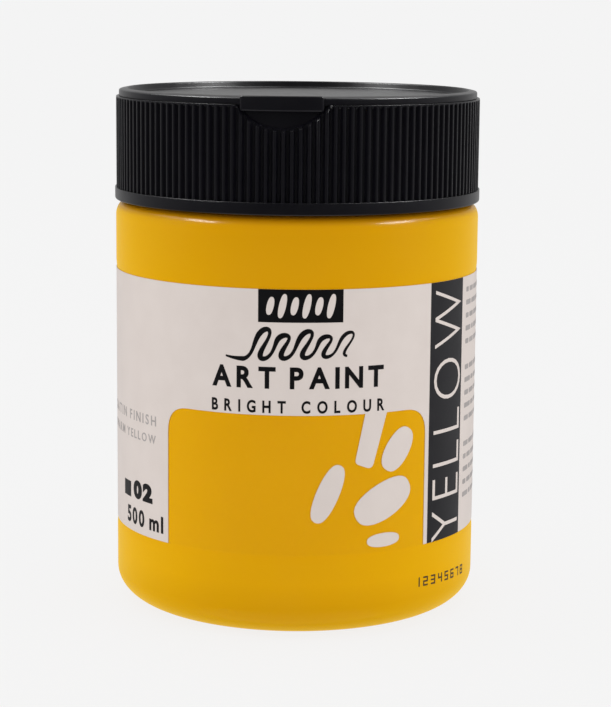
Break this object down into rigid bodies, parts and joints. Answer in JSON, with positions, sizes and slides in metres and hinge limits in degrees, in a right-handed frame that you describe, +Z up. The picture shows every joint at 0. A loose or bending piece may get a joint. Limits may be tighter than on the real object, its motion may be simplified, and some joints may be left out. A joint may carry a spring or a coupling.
{
  "type": "paint jar",
  "caption": "Round wide-mouth plastic jar of yellow acrylic paint with a wrap-around label and a black ribbed screw cap that has a hinged flip lid, a thumb scoop and a pouring hole.",
  "frame": {"origin": "centre of the foot ring, on the plane the jar stands on", "axes": "+Z up along the jar's axis; -Y towards the flip lid's thumb tab; +Y towards its hinge"},
  "size_m": [0.0864, 0.0864, 0.1222],
  "materials": {
    "jar_plastic": "translucent blow-moulded plastic, semi-gloss, coloured by the paint behind it",
    "yellow_paint": "thick acrylic paint, satin",
    "label_film": "clear film printed with white and black panels, satin",
    "seal_foam": "soft white foam ring, matt",
    "black_plastic": "black injection-moulded plastic, satin, vertical grip ribs"
  },
  "bodies": {
    "jar": {"jar_body": "jar_plastic", "paint_fill": "yellow_paint", "label_wrap": "label_film"},
    "seal": {"seal_ring": "seal_foam"},
    "cap": {"screw_cap": "black_plastic", "living_hinge": "black_plastic"},
    "lid": {"flip_lid": "black_plastic"}
  },
  "joints": [
    {"name": "cap_rise", "type": "slide", "parent": "jar", "child": "seal", "axis": [0, 0, 1], "range_m": [0, 0.0201]},
    {"name": "cap_turn", "type": "hinge", "parent": "seal", "child": "cap", "pos_m": [0, 0, 0.1085], "axis": [0, 0, 1], "range_deg": [0, 1440]},
    {"name": "lid_flip", "type": "hinge", "parent": "cap", "child": "lid", "pos_m": [0, 0.0429, 0.12065], "axis": [-1, 0, 0], "range_deg": [0, 180], "deforming": ["living_hinge"]}
  ],
  "couplings": [
    {"joint": "cap_rise", "follows": "cap_turn", "m_per_rad": 0.00079577}
  ]
}
